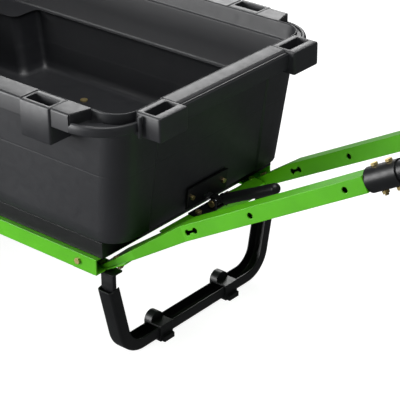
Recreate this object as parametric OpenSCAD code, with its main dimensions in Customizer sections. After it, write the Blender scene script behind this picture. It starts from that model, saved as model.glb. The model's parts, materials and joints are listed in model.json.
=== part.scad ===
// Garden dump cart for towing behind a tractor: a moulded tub on a steel chassis with two wheels,
// twin drawbars, a draw loop with a hitch, and a stand leg. Millimetres, +X forward, +Y left, +Z up.
// Stations along the cart are counted from the tub's front rim (station 0), positive forward, and
// placed() puts the middle of the whole length at the origin, with the ground at z = 0.

/* [Tub] */
// Width over the side rims
tub_w = 700; // [620:10:860]
// Length over the end rims
tub_l = 1240; // [1150:10:1500]
// Height of the rim above the ground
rim_h = 612; // [560:2:720]
// Thickness of the moulded wall
wall_t = 4; // [3:0.5:6]
// Width of the side rims' top face
rim_side_w = 53; // [45:1:65]
// Width of the end rims' top face
rim_end_w = 50; // [44:1:60]
// Depth of the skirt that hangs from the rim's outer edge
rim_skirt = 39; // [25:1:60]
// Underside of the tub above the ground
tub_base_z = 301; // [298:1:330]
// Height of the foot ring below the tub's floor
foot_ring_h = 16; // [8:1:24]
// How far the side walls lean in from rim to base
side_draft = 20; // [12:1:26]
// How far the end walls lean in from rim to base
end_draft = 43; // [30:1:55]
// How far the rim stops short of each corner along the sides
corner_gap_x = 139; // [120:1:170]
// Half width of the plain middle of the end rims
end_rim_half = 172; // [150:1:200]

/* [Stake pockets] */
// Length of a pocket's opening along the rim
pocket_l = 66; // [50:1:76]
// Width of a pocket's opening across the rim
pocket_w = 29; // [22:1:32]
// Depth of a pocket below the rim
pocket_depth = 46; // [30:1:60]
// Length of the block around a pocket
block_l = 84; // [80:1:96]
// Height of the block around a pocket
block_h = 52; // [48:1:70]
// Height of the block around a side pocket
side_block_h = 80; // [60:1:90]
// How far the end blocks stand out past the rim
block_out = 16; // [10:1:20]
// How far the side blocks stand out past the rim
side_block_out = 4; // [2:1:8]

/* [Wheel wells] */
// Station of the wells' front face
well_front = -854; // [-880:2:-830]
// Half width between the two wells, outside the tub
well_half = 213; // [205:1:219]
// Height of the wells' top face above the ground
well_top = 462; // [450:1:490]

/* [Chassis] */
// Half width over the side rails
rail_half = 292; // [280:1:300]
// Width of a rail's flanges
rail_w = 28; // [22:1:36]
// Height of a rail
rail_h = 37; // [30:1:42]
// Top of the rails above the ground
rail_top = 264; // [255:1:270]
// Thickness of the pressed steel
steel_t = 3; // [2:0.5:4]
// Station of the rails' front end
rail_front = -137; // [-150:1:-125]
// Station of the rails' rear end
rail_rear = -812; // [-826:2:-780]
// Depth of the crossmembers along the cart
cross_l = 36; // [28:1:44]
// Gap between the rails and the tub's frame at rest
rest_gap = 1; // [1:0.5:3]

/* [Drawbars] */
// Height of the drawbar tube
bar_h = 34; // [28:1:40]
// Width of the drawbar tube
bar_w = 50; // [44:1:54]
// Rise of the drawbars in degrees
bar_pitch = 29.4; // [26:0.2:32]
// Turn of each drawbar towards the middle in degrees
bar_yaw = 3.5; // [2:0.1:5]
// Half width over the drawbars at station 0
bar_half = 203; // [195:1:210]
// Height of the drawbars' top edge at station 0
bar_z0 = 349; // [343:1:354]
// Station of the drawbars' front end
bar_front = 430; // [380:5:520]
// Radius of the holes across the drawbars
bar_hole_r = 6.5; // [5:0.5:8]

/* [Draw loop] */
// Outside radius of the loop's tube
loop_r = 22; // [20:0.5:23]
// Outside radius of the sockets that join the loop to the drawbars
socket_r = 25; // [24.5:0.5:28]
// Wall of the loop's tube
loop_t = 2.5; // [2:0.5:4]
// Length of a socket past the drawbar's end
socket_l = 72; // [66:1:90]
// Radius of the loop's bends on the tube's middle
loop_bend_r = 90; // [80:5:120]
// Level run between the rise and the corner bend
loop_run = 60; // [20:5:140]

/* [Hitch] */
// Radius of the hitch pin
pin_r = 8; // [6:0.5:10]
// Radial clearance of the hitch pin in its ears
pin_gap = 0.1; // [0.1:0.05:0.5]
// Clear height between the hitch's ears
hitch_gap = 32; // [24:1:44]
// Thickness of the hitch's plates
hitch_t = 6; // [5:1:8]
// Height of the lower ear's top face above the ground
hitch_z = 380; // [330:5:420]

/* [Stand] */
// Depth of the leg's channel along the cart
leg_l = 40; // [34:1:46]
// Thickness of the leg's channel across its run
leg_d = 28; // [22:1:32]
// Station of the leg's middle
leg_x = -130; // [-134:1:-126]
// Half width over the leg at its top
leg_top_half = 280; // [270:1:284]
// Lean of the leg's uprights in degrees
leg_lean = 13; // [8:0.5:16]
// Height of the leg's open top above the ground
leg_top_z = 185; // [170:1:200]
// Radius of the leg's bends on the outside
leg_bend_r = 74; // [55:1:80]
// Height of the leg's underside above the ground
leg_base_z = 6; // [5:0.5:10]
// Half distance between the feet
foot_half = 112; // [80:1:125]

/* [Wheels] */
// Radius of the tyres
tyre_r = 203; // [190:1:208]
// Width of the tyres
tyre_w = 108; // [90:1:112]
// Half distance between the tyres' middles
track_half = 282; // [280:1:286]
// Radius of the rims' bead seats
bead_r = 101; // [95:1:110]
// Radius of the axle
axle_r = 9.5; // [8:0.5:12]
// Radial running clearance of the bushes on the axle
bush_gap = 0.1; // [0.05:0.05:0.1]
// Station of the axle
axle_x = -1064; // [-1076:1:-1062]

/* [Latch] */
// Height of the latch lever's pivot above the ground
latch_z = 312; // [310:1:316]
// Station of the latch lever's pivot
latch_x = -52; // [-56:1:-50]
// Length of the latch lever ahead of its pivot
lever_l = 170; // [120:5:190]
// Radius of the latch lever's tube
lever_r = 12; // [9:0.5:14]

/* [Hidden] */
$fn = 48;

// General fits and clearances
fit_gap = 0.05;      // between fixed pieces that sit in or on each other
bolt_gap = 0.15;     // around a bolt's shank
side_gap = 0.4;      // beside a turning piece
eps = 1;             // how far a cut runs past a face

// Fasteners: M8 through the steel, M6 on the latch plate
bolt_r = 4;
small_bolt_r = 3;
hex_r = 7.5;
small_hex_r = 5.8;
head_h = 5;

// The tub's wall, measured on its outside
tub_top_y = tub_w / 2 - rim_side_w + wall_t;
tub_base_y = tub_top_y - side_draft;
tub_top_x = -rim_end_w + wall_t;
tub_base_x = tub_top_x - end_draft;
tub_floor_z = tub_base_z + foot_ring_h + wall_t;
front_lean = atan(end_draft / (rim_h - tub_base_z));

// Rim corners
corner_r = 105;
corner_shelf_drop = 22;
corner_shelf_h = 18;
end_pocket_y = end_rim_half + block_l / 2;
side_pocket_x = -228;
end_pocket_set = 20;
side_pocket_set = 11;

// Chassis
front_cross_x = -188;
rear_cross_x = rail_rear + cross_l / 2;
cross_h = rail_h - 2 * steel_t;
cross_z = rail_top - rail_h + steel_t;
arm_in = 150;
arm_out = 186;
ear_in = 190;
ear_t = 6;
pivot_boss_r = 24;

// Drawbars, in their own frame: u along the bar from station 0, v outward, w up
bar_u_front = bar_front / cos(bar_pitch);
bar_u_rear = (front_cross_x + cross_l / 2 - 8) / cos(bar_pitch);
flare_u = 16;
flare_out = (rail_half - rail_w - 1 - bar_half) / cos(bar_yaw)
    + (front_cross_x + cross_l / 2) * tan(bar_yaw);
flare_turn_u = -101;
flare_turn_out = flare_out - 10;
flat_h = 8;
cavity_rear_u = -138;
plate_turn_x = (rail_top - rail_h - bar_z0 + bar_h / cos(bar_pitch)) / tan(bar_pitch);
spigot_r = loop_r;
spigot_l = 35;
loop_bolt_u = [20, 54];
loop_lead = 96;
loop_start = spigot_l + 1;

// Draw loop
loop_a = 90 - bar_yaw;
loop_h1 = (bar_u_front + loop_lead) * cos(bar_pitch) + bar_h / 2 * sin(bar_pitch) + loop_bend_r * sin(bar_pitch);
loop_h2 = loop_h1 + loop_run + loop_bend_r * cos(bar_yaw);
loop_lat = -bar_w / 2 - loop_bend_r * (1 - sin(bar_yaw));
loop_x = loop_h2 * cos(bar_yaw) + loop_lat * sin(bar_yaw);
loop_y = bar_half - loop_h2 * sin(bar_yaw) + loop_lat * cos(bar_yaw);
loop_z = bar_z0 + (bar_u_front + loop_lead) * sin(bar_pitch) - bar_h / 2 * cos(bar_pitch)
    + loop_bend_r * (1 - cos(bar_pitch));

// Hitch
hitch_half = 30;
hitch_pin_x = loop_x + 44;
hitch_back = 14;

// Stand leg
leg_zc = leg_base_z + leg_bend_r;
leg_yc = leg_top_half + (leg_zc - leg_top_z) * tan(leg_lean) - leg_bend_r / cos(leg_lean);
leg_run = (leg_top_z - leg_zc) / cos(leg_lean) + leg_bend_r * tan(leg_lean);
corner_bolt_y = rail_half - rail_w - 14;
corner_bolt_x = -158;
corner_seat = 4;
slope_bolt_u = -153;
slope_bolt_v = flare_out - 14;
slope_seat = 12.5;

// Wheels
rim_half = 54;
flange_t = 3;
hub_half = 46;
hub_r = 19;
bush_r = 13;
axle_z = tyre_r;
axle_half = track_half + hub_half + 12;

// Tub frame under the tub
frame_front_x = -128;
frame_side_rear_x = well_front + 8;
frame_rear_x = axle_x - 36;
beam_in = 168;
beam_out = 200;
frame_z = rail_top + rest_gap;
tub_bolt_x = [-200, -620, -1016];

// Latch
lever_pitch = 27;
strap_x = [-80, -46];
strap_z = [272, 296];
lever_neck = 22;
bracket_t = 4;
latch_ear_in = 16;
plate_half = 66;
plate_z = [306, 356];
plate_bolt_z = 332;
plate_bolt_y = 52;
keeper_z = 316;

// The cart's two ends, which place its middle at the origin
front_reach = hitch_pin_x + hitch_half;
rear_reach = min(axle_x - tyre_r, -tub_l - block_out);
shift_x = -(front_reach + rear_reach) / 2;

green = [0.36, 0.72, 0.08];
poly = [0.16, 0.17, 0.18];
black = [0.07, 0.07, 0.08];
zinc = [0.78, 0.66, 0.36];
steel = [0.62, 0.63, 0.65];
rubber = [0.05, 0.05, 0.05];

// Puts stations into the part's own frame
module placed() {
    translate([shift_x, 0, 0]) children();
}

// Draws on the left side, or mirrored onto the right
module on_side(s) {
    if (s > 0) children();
    else mirror([0, 1, 0]) children();
}

module both_sides() {
    for (s = [1, -1]) on_side(s) children();
}

// A box given by its ranges
module block(x, y, z) {
    translate([x[0], y[0], z[0]]) cube([x[1] - x[0], y[1] - y[0], z[1] - z[0]]);
}

// A rod along Y between two places
module rod_y(x, y0, y1, z, r) {
    translate([x, y0, z]) rotate([-90, 0, 0]) cylinder(h = y1 - y0, r = r);
}

// A profile of (x, z) points carried along Y
module along_y(y0, y1) {
    translate([0, y1, 0]) rotate([90, 0, 0]) linear_extrude(y1 - y0) children();
}

// A profile of (y, z) points carried along X
module along_x(x0, x1) {
    translate([x0, 0, 0]) rotate([90, 0, 90]) linear_extrude(x1 - x0) children();
}

// Hex-headed bolt along -Z from its seat, the head above
module bolt(l, r = bolt_r, hr = hex_r) {
    translate([0, 0, -l]) cylinder(h = l + head_h / 2, r = r);
    cylinder(h = head_h, r = hr, $fn = 6);
}

// Hex nut above its seat with a clear bore
module nut(r = bolt_r, hr = hex_r, h = 6) {
    difference() {
        cylinder(h = h, r = hr, $fn = 6);
        translate([0, 0, -eps]) cylinder(h = h + 2 * eps, r = r + fit_gap);
    }
}

// ---- Tub ----

// Half width and front station of the tub's outside at height z
function wall_y(z) = tub_base_y + side_draft * (z - tub_base_z) / (rim_h - tub_base_z);
function wall_x(z) = tub_base_x + end_draft * (z - tub_base_z) / (rim_h - tub_base_z);

// Drafted block with the tub's slopes, its wall moved in by inset, between two heights
module drafted(inset, z0, z1) {
    y0 = wall_y(z0) - inset;
    y1 = wall_y(z1) - inset;
    x0 = wall_x(z0) - inset;
    x1 = wall_x(z1) - inset;
    intersection() {
        along_x(-tub_l, 0) polygon([[-y0, z0], [y0, z0], [y1, z1], [-y1, z1]]);
        along_y(-tub_w, tub_w) polygon([[x0, z0], [-tub_l - x0, z0], [-tub_l - x1, z1], [x1, z1]]);
    }
}

// The space of both wheel wells, grown by some thickness
module wells(grow) {
    both_sides()
        block([-tub_l - eps, well_front + grow], [well_half - grow, tub_w], [0, well_top + grow]);
}

// Both ends of the tub: the shape at station 0 and its mirror at the rear
module both_ends() {
    children();
    translate([-tub_l, 0, 0]) mirror([1, 0, 0]) children();
}

module rim() {
    both_sides() {
        block([corner_gap_x - tub_l, -corner_gap_x], [tub_top_y - wall_t, tub_w / 2], [rim_h - wall_t, rim_h]);
        block([corner_gap_x - tub_l, -corner_gap_x], [tub_w / 2 - wall_t, tub_w / 2], [rim_h - rim_skirt, rim_h]);
    }
    both_ends() {
        block([-rim_end_w, 0], [-end_rim_half, end_rim_half], [rim_h - wall_t, rim_h]);
        block([-wall_t, 0], [-end_rim_half, end_rim_half], [rim_h - rim_skirt, rim_h]);
        both_sides() {
            block([-rim_end_w, block_out], [end_rim_half, end_rim_half + block_l], [rim_h - block_h, rim_h]);
            block([side_pocket_x - block_l / 2, side_pocket_x + block_l / 2],
                [tub_top_y - side_draft, tub_w / 2 + side_block_out], [rim_h - side_block_h, rim_h]);
            translate([-corner_gap_x, tub_w / 2 - corner_r, rim_h - corner_shelf_drop - corner_shelf_h])
                cylinder(h = corner_shelf_h, r = corner_r);
        }
    }
}

module pockets() {
    both_ends() both_sides() {
        block([block_out - end_pocket_set - pocket_w, block_out - end_pocket_set],
            [end_pocket_y - pocket_l / 2, end_pocket_y + pocket_l / 2], [rim_h - pocket_depth, rim_h + eps]);
        block([side_pocket_x - pocket_l / 2, side_pocket_x + pocket_l / 2],
            [tub_w / 2 + side_block_out - side_pocket_set - pocket_w, tub_w / 2 + side_block_out - side_pocket_set],
            [rim_h - pocket_depth, rim_h + eps]);
    }
}

module tub() placed() color(poly) difference() {
    union() {
        drafted(0, tub_base_z, rim_h);
        difference() {
            rim();
            pockets();
        }
    }
    difference() {
        drafted(wall_t, tub_floor_z, rim_h + eps);
        wells(wall_t);
    }
    wells(0);
    difference() {
        drafted(wall_t, tub_base_z - eps, tub_base_z + foot_ring_h);
        wells(wall_t);
    }
    tub_bolt_places() translate([0, 0, -30]) cylinder(h = 60, r = bolt_r + bolt_gap);
    plate_bolt_places() translate([0, 0, -30]) cylinder(h = 60, r = small_bolt_r + bolt_gap);
}

// Seats of the tub's floor bolts, on the floor
module tub_bolt_places() {
    for (x = tub_bolt_x, y = [-1, 1] * (beam_in + beam_out) / 2) translate([x, y, tub_floor_z]) children();
}

// Seats of the latch plate's bolts, square to the front wall's outside
module plate_bolt_places() {
    for (y = [-plate_bolt_y, plate_bolt_y]) on_front_wall(plate_bolt_z) translate([0, y, 0])
        rotate([0, 90, 0]) children();
}

// A frame on the front wall's outside at height z: X square to the wall, Z up along it
module on_front_wall(z) {
    translate([tub_base_x + (z - tub_base_z) * tan(front_lean), 0, z]) rotate([0, front_lean, 0]) children();
}

module tub_frame() placed() color(black) difference() {
    union() {
        both_sides() {
            difference() {
                block([frame_rear_x, frame_front_x], [beam_in, beam_out], [frame_z, tub_base_z + foot_ring_h]);
                block([frame_rear_x - eps, frame_front_x - steel_t], [beam_in + steel_t, beam_out - steel_t],
                    [frame_z - eps, tub_base_z + foot_ring_h - steel_t]);
            }
            block([frame_side_rear_x, frame_front_x], [tub_base_y - steel_t, tub_base_y], [frame_z, tub_base_z]);
            block([frame_side_rear_x, frame_front_x], [tub_base_y - 24, tub_base_y],
                [tub_base_z - steel_t, tub_base_z]);
        }
        for (x = [frame_front_x, frame_side_rear_x + steel_t])
            block([x - steel_t, x], [-tub_base_y, tub_base_y], [frame_z, tub_base_z]);
    }
    tub_bolt_places() translate([0, 0, -30]) cylinder(h = 60, r = bolt_r + bolt_gap);
}

module pivot_ear(s) placed() color(black) on_side(s) difference() {
    along_y(ear_in, ear_in + ear_t) {
        polygon([[axle_x - 36, frame_z], [axle_x + 60, frame_z], [axle_x + pivot_boss_r, axle_z],
            [axle_x - pivot_boss_r, axle_z]]);
        translate([axle_x, axle_z]) circle(pivot_boss_r);
    }
    rod_y(axle_x, ear_in - eps, ear_in + ear_t + eps, axle_z, axle_r + bush_gap);
}

module tub_bolts() placed() color(zinc) tub_bolt_places() {
    cylinder(h = 3, r = 9);
    translate([0, 0, -24]) cylinder(h = 24, r = bolt_r);
}

module tub_nuts() placed() color(zinc)
    tub_bolt_places() translate([0, 0, -wall_t - steel_t - 6]) nut();

module latch_plate() placed() color(black) difference() {
    on_front_wall(plate_z[0]) block([0, bracket_t], [-plate_half, plate_half], [0, plate_z[1] - plate_z[0]]);
    plate_bolt_places() translate([0, 0, -30]) cylinder(h = 60, r = small_bolt_r + bolt_gap);
}

module plate_bolts() placed() color(zinc) plate_bolt_places()
    translate([0, 0, bracket_t]) bolt(bracket_t + wall_t + 8, small_bolt_r, small_hex_r);

module latch_keeper() placed() color(steel) on_front_wall(keeper_z) {
    translate([bracket_t, -10, -4]) cube([10, 20, 8]);
    translate([bracket_t + 10, -10, 0]) rotate([-90, 0, 0]) cylinder(h = 20, r = 4);
}

// ---- Chassis ----

module rail(s) placed() color(green) on_side(s) difference() {
    block([rail_rear, rail_front], [rail_half - rail_w, rail_half], [rail_top - rail_h, rail_top]);
    block([rail_rear - eps, rail_front + eps], [rail_half - rail_w - eps, rail_half - steel_t],
        [cross_z, cross_z + cross_h]);
    rail_bolt_places() translate([0, 0, -30]) cylinder(h = 60, r = bolt_r + bolt_gap);
}

// Seats of one side's rail bolts, on the rail's outer face
module rail_bolt_places() {
    for (x = [front_cross_x, rear_cross_x]) translate([x, rail_half, rail_top - rail_h / 2])
        rotate([-90, 0, 0]) children();
}

module crossmember(x) placed() color(green) difference() {
    block([x - cross_l / 2, x + cross_l / 2], [steel_t - rail_half, rail_half - steel_t], [cross_z, cross_z + cross_h]);
    block([x - cross_l / 2 + steel_t, x + cross_l / 2 - steel_t], [2 * steel_t - rail_half, rail_half - 2 * steel_t],
        [cross_z + steel_t, cross_z + cross_h - steel_t]);
    both_sides() rail_bolt_places() translate([0, 0, -30]) cylinder(h = 60, r = bolt_r + bolt_gap);
}

module rail_bolts() placed() color(zinc) both_sides() rail_bolt_places() bolt(2 * steel_t + 8);

module rail_nuts() placed() color(zinc) both_sides() rail_bolt_places() translate([0, 0, -2 * steel_t - 6]) nut();

module axle_arm(s) placed() color(green) on_side(s) difference() {
    along_y(arm_in, arm_out) {
        polygon([[rail_rear, cross_z], [rail_rear, cross_z + cross_h], [axle_x + 40, cross_z + cross_h],
            [axle_x - 10, axle_z + pivot_boss_r - 1], [axle_x - 10, axle_z - pivot_boss_r + 1]]);
        translate([axle_x, axle_z]) circle(pivot_boss_r);
    }
    along_y(arm_in + steel_t, arm_out - steel_t)
        polygon([[rail_rear - steel_t, 0], [rail_rear - steel_t, cross_z + cross_h - steel_t],
            [axle_x + 42, cross_z + cross_h - steel_t], [axle_x + pivot_boss_r + 2, axle_z + 10],
            [axle_x + pivot_boss_r + 2, 0]]);
    rod_y(axle_x, arm_in - eps, arm_out + eps, axle_z, axle_r + fit_gap);
}

module axle() placed() color(steel) difference() {
    rod_y(axle_x, -axle_half, axle_half, axle_z, axle_r);
    both_sides() cotter_place() cylinder(h = 40, r = 2, center = true);
}

module cotter_place() {
    translate([axle_x, axle_half - 5, axle_z]) children();
}

module cotter_pins() placed() color(zinc) both_sides() cotter_place() {
    cylinder(h = 26, r = 2 - fit_gap, center = true);
    translate([0, 0, 14]) rotate([90, 0, 0]) rotate_extrude() translate([3, 0]) circle(1.2, $fn = 16);
}

// Ring round the axle from y0 to y1 on the left
module axle_ring(y0, y1, r) {
    difference() {
        rod_y(axle_x, y0, y1, axle_z, r);
        rod_y(axle_x, y0 - eps, y1 + eps, axle_z, axle_r + fit_gap);
    }
}

module axle_spacers() placed() color(steel) both_sides() {
    axle_ring(ear_in + ear_t + side_gap, track_half - hub_half - side_gap, 15);
    axle_ring(arm_out + fit_gap, ear_in - side_gap, 15);
}

module axle_washers() placed() color(zinc) both_sides()
    axle_ring(track_half + hub_half + side_gap, track_half + hub_half + side_gap + 2, 15);

// ---- Drawbars ----

// The left drawbar's own frame
module bar_frame() {
    translate([0, bar_half, bar_z0]) rotate([0, 0, -bar_yaw]) rotate([0, -bar_pitch, 0]) children();
}

// The drawbar's plan, moved in by inset: straight ahead, and flared outward at its rear end
module bar_plan(inset) {
    polygon([[bar_u_front, -bar_w + inset], [bar_u_front, -inset], [flare_u, -inset],
        [flare_turn_u, flare_turn_out - inset], [bar_u_rear, flare_out - inset], [bar_u_rear, -bar_w + inset]]);
}

// Height of the bar's top at u, pressed flat towards its rear end
function bar_top(u) = (u - flare_u) * (flat_h - bar_h) / (bar_u_rear - flare_u);

// The bar's body between two stations of u, its faces moved in by inset
module bar_body(u0, u1, inset) {
    intersection() {
        translate([0, 0, -bar_h]) linear_extrude(bar_h) bar_plan(inset);
        along_y(-bar_w, flare_out) polygon([[u1, -bar_h + inset], [u1, -inset], [flare_u, -inset],
            [u0, bar_top(u0) - inset], [u0, -bar_h + inset]]);
    }
}

module drawbar(s) placed() color(green) on_side(s) difference() {
    bar_frame() union() {
        difference() {
            bar_body(bar_u_rear, bar_u_front, 0);
            bar_body(cavity_rear_u, bar_u_front - steel_t, steel_t);
        }
        translate([bar_u_front - eps, -bar_w / 2, -bar_h / 2]) rotate([0, 90, 0])
            cylinder(h = spigot_l + eps, r = spigot_r);
    }
    block([-tub_l, front_cross_x + cross_l / 2 + eps], [0, tub_w], [0, rim_h]);
    block([-tub_l, 0], [0, tub_w], [0, rail_top - rail_h]);
    loop_bolt_places() translate([0, 0, -60]) cylinder(h = 90, r = bolt_r + bolt_gap);
    bar_frame() {
        for (x = [186, 397, 34, 52]) bar_hole(x);
        translate([bar_hole_u(34), -bar_w - eps, -bar_h / 2 - 3])
            cube([18 / cos(bar_pitch), bar_w + 2 * eps, 6]);
    }
    corner_bolt_place() translate([0, 0, -30]) cylinder(h = 60, r = bolt_r + bolt_gap);
    corner_bolt_place() translate([0, 0, corner_seat]) cylinder(h = 30, r = 9);
    slope_bolt_place() translate([0, 0, -30]) cylinder(h = 60, r = bolt_r + bolt_gap);
    slope_bolt_place() translate([0, 0, slope_seat]) cylinder(h = 30, r = 9);
}

// Place along the bar's middle that stands at station x
function bar_hole_u(x) = (x - bar_h / 2 * sin(bar_pitch)) / cos(bar_pitch);

// A hole straight across the bar at station x
module bar_hole(x) {
    translate([bar_hole_u(x), -bar_w / 2, -bar_h / 2]) rotate([90, 0, 0])
        cylinder(h = bar_w + 2 * eps, r = bar_hole_r, center = true);
}

// Seat of the bolt that holds leg, corner plate, bar and rail together, under the corner plate
module corner_bolt_place() {
    translate([corner_bolt_x, corner_bolt_y, rail_top - rail_h]) children();
}

// Seat of the bolt square to the bar's underside, ahead of the leg
module slope_bolt_place() {
    bar_frame() translate([slope_bolt_u, slope_bolt_v, -bar_h]) children();
}

module corner_plate(s) placed() color(green) on_side(s) difference() {
    union() {
        block([front_cross_x - cross_l / 2, plate_turn_x + 1.5], [bar_half + 22, rail_half - steel_t],
            [rail_top - rail_h - steel_t, rail_top - rail_h]);
        intersection() {
            bar_frame() translate([bar_u_rear, slope_bolt_v - 16, -bar_h - steel_t])
                cube([slope_bolt_u + 30 - bar_u_rear, 30, steel_t]);
            block([plate_turn_x + 1, 0], [0, tub_w], [rail_top - rail_h - steel_t, rim_h]);
        }
    }
    corner_bolt_place() translate([0, 0, -30]) cylinder(h = 60, r = bolt_r + bolt_gap);
    slope_bolt_place() translate([0, 0, -30]) cylinder(h = 60, r = bolt_r + bolt_gap);
}

module corner_bolts() placed() color(zinc) both_sides() {
    corner_bolt_place() translate([0, 0, corner_seat]) bolt(corner_seat + 14);
    slope_bolt_place() translate([0, 0, slope_seat]) bolt(slope_seat + 11);
}

module corner_nuts() placed() color(zinc) both_sides() {
    corner_bolt_place() translate([0, 0, -2 * steel_t - 6]) nut();
    slope_bolt_place() translate([0, 0, -steel_t - 6]) nut();
}

// Seats of one side's two socket bolts, on top of the socket
module loop_bolt_places() {
    for (u = loop_bolt_u) bar_frame() translate([bar_u_front + u, -bar_w / 2, -bar_h / 2 + socket_r]) children();
}

module socket(s) placed() color(black) on_side(s) difference() {
    bar_frame() translate([bar_u_front + fit_gap, -bar_w / 2, -bar_h / 2]) rotate([0, 90, 0]) difference() {
        cylinder(h = socket_l, r = socket_r);
        translate([0, 0, -eps]) cylinder(h = socket_l + 2 * eps, r = loop_r + fit_gap);
    }
    loop_bolt_places() translate([0, 0, -60]) cylinder(h = 90, r = bolt_r + bolt_gap);
}

// The loop tube's ring section
module loop_ring() {
    difference() {
        circle(loop_r);
        circle(loop_r - loop_t);
    }
}

// Straight piece of the loop's tube along X, a little short of the bands that join it
module tube_x(l) {
    translate([0.5, 0, 0]) rotate([0, 90, 0]) linear_extrude(l - 1) loop_ring();
}

// Weld band over the seam between two pieces of the loop's tube
module tube_band() {
    rotate([0, 90, 0]) difference() {
        cylinder(h = 6, r = loop_r + 0.4, center = true);
        cylinder(h = 8, r = loop_r - loop_t - 0.4, center = true);
    }
}

// Bend of the loop's tube that starts along X and turns to -Y by a degrees
module tube_bend(a) {
    translate([0, -loop_bend_r, 0]) rotate([0, 0, 90 - a]) rotate_extrude(angle = a)
        translate([loop_bend_r, 0]) loop_ring();
}

// One side of the loop: up the bar's line, level, and round to the middle
module loop_side() {
    bar_frame() translate([bar_u_front + loop_start, -bar_w / 2, -bar_h / 2]) {
        tube_x(loop_lead - loop_start);
        translate([loop_lead - loop_start, 0, 0]) {
            tube_band();
            rotate([90, 0, 0]) tube_bend(bar_pitch);
            translate([loop_bend_r * sin(bar_pitch), 0, -loop_bend_r * (1 - cos(bar_pitch))])
                rotate([0, bar_pitch, 0]) {
                    tube_band();
                    tube_x(loop_run);
                    translate([loop_run, 0, 0]) {
                        tube_band();
                        tube_bend(loop_a);
                        translate([loop_bend_r * sin(loop_a), -loop_bend_r * (1 - cos(loop_a)), 0])
                            rotate([0, 0, -loop_a]) tube_band();
                    }
                }
        }
    }
}

module draw_loop() placed() color(black) difference() {
    union() {
        both_sides() loop_side();
        translate([loop_x, loop_y, loop_z]) rotate([0, 0, -90]) tube_x(2 * loop_y);
    }
    both_sides() loop_bolt_places() translate([0, 0, -60]) cylinder(h = 90, r = bolt_r + bolt_gap);
}

module loop_bolts() placed() color(zinc) both_sides() loop_bolt_places()
    translate([0, 0, fit_gap]) bolt(2 * socket_r + 10);

module loop_nuts() placed() color(zinc) both_sides() loop_bolt_places()
    translate([0, 0, -2 * socket_r - 6 - fit_gap]) nut();

// ---- Hitch ----

module hitch_bracket() placed() color(black) difference() {
    union() {
        for (y = [-hitch_half, hitch_half - hitch_t]) along_y(y, y + hitch_t) {
            translate([loop_x, loop_z]) circle(loop_r + 8);
            polygon([[loop_x - loop_r - 8, loop_z], [loop_x + loop_r + 8, loop_z],
                [loop_x + hitch_back, hitch_z + 2 * hitch_gap + hitch_t], [loop_x + hitch_back, hitch_z - hitch_t],
                [loop_x - hitch_back, hitch_z - hitch_t], [loop_x - hitch_back, loop_z - 2 * loop_r]]);
        }
        block([loop_x - hitch_back, loop_x - hitch_back + hitch_t], [-hitch_half, hitch_half],
            [hitch_z - hitch_t, loop_z - loop_r - 8]);
        for (z = [hitch_z - hitch_t, hitch_z + hitch_gap]) translate([0, 0, z]) linear_extrude(hitch_t) {
            translate([loop_x - hitch_back, -hitch_half]) square([hitch_pin_x - loop_x + hitch_back, 2 * hitch_half]);
            translate([hitch_pin_x, 0]) circle(hitch_half);
        }
    }
    rod_y(loop_x, -hitch_half - eps, hitch_half + eps, loop_z, loop_r + fit_gap);
    translate([hitch_pin_x, 0, hitch_z - hitch_t - eps]) cylinder(h = hitch_gap + 2 * hitch_t + 2 * eps, r = pin_r + pin_gap);
}

module hitch_pin() placed() color(steel) translate([hitch_pin_x, 0, 0]) {
    translate([0, 0, hitch_z - hitch_t - 16]) cylinder(h = hitch_gap + 2 * hitch_t + 24, r = pin_r);
    translate([0, 0, hitch_z - hitch_t - 22]) cylinder(h = 6, r1 = pin_r - 4, r2 = pin_r);
    translate([0, 0, hitch_z + hitch_gap + hitch_t + 0.5]) cylinder(h = 5, r = pin_r + 7);
    translate([0, 0, hitch_z + hitch_gap + hitch_t + 26]) rotate([90, 0, 0])
        rotate_extrude() translate([18, 0]) circle(4);
}

// ---- Stand ----

// The leg channel's section, grown by g: out from the bend's middle, and across the leg
module leg_section(g = 0) {
    difference() {
        translate([leg_bend_r - leg_d - g, -leg_l / 2 - g]) square([leg_d + 2 * g, leg_l + 2 * g]);
        translate([leg_bend_r - leg_d - g - eps, steel_t - leg_l / 2 + g])
            square([leg_d + 2 * g + eps - steel_t - g, leg_l - 2 * steel_t - 2 * g]);
    }
}

// Weld band over a seam of the leg, at the turn a about the bend's middle
module leg_band(a) {
    rotate([0, 0, a]) rotate([90, 0, 0]) linear_extrude(6, center = true) leg_section(0.4);
}

module stand_leg() placed() color(black) difference() {
    union() {
        both_sides() {
            translate([leg_x, leg_yc, leg_zc]) rotate([90, 0, -90]) {
                rotate([0, 0, 180 + leg_lean]) {
                    rotate_extrude(angle = 90 - leg_lean) leg_section();
                    rotate([90, 0, 0]) translate([0, 0, 0.5]) linear_extrude(leg_run - 0.5) leg_section();
                }
                leg_band(180 + leg_lean);
                leg_band(270);
            }
            block([corner_bolt_x - 10, leg_x + leg_l / 2 - steel_t], [corner_bolt_y - 14, corner_bolt_y + 19],
                [rail_top - rail_h - 2 * steel_t, rail_top - rail_h - steel_t]);
            block([leg_x - leg_l / 2 + steel_t - eps, leg_x + leg_l / 2 - steel_t + eps],
                [corner_bolt_y + 8, corner_bolt_y + 19], [leg_top_z - 25, rail_top - rail_h - steel_t - eps]);
        }
        translate([leg_x, 0, leg_zc]) rotate([90, 90, 0]) linear_extrude(2 * leg_yc - 1, center = true)
            leg_section();
    }
    both_sides() corner_bolt_place() translate([0, 0, -30]) cylinder(h = 60, r = bolt_r + bolt_gap);
}

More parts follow.
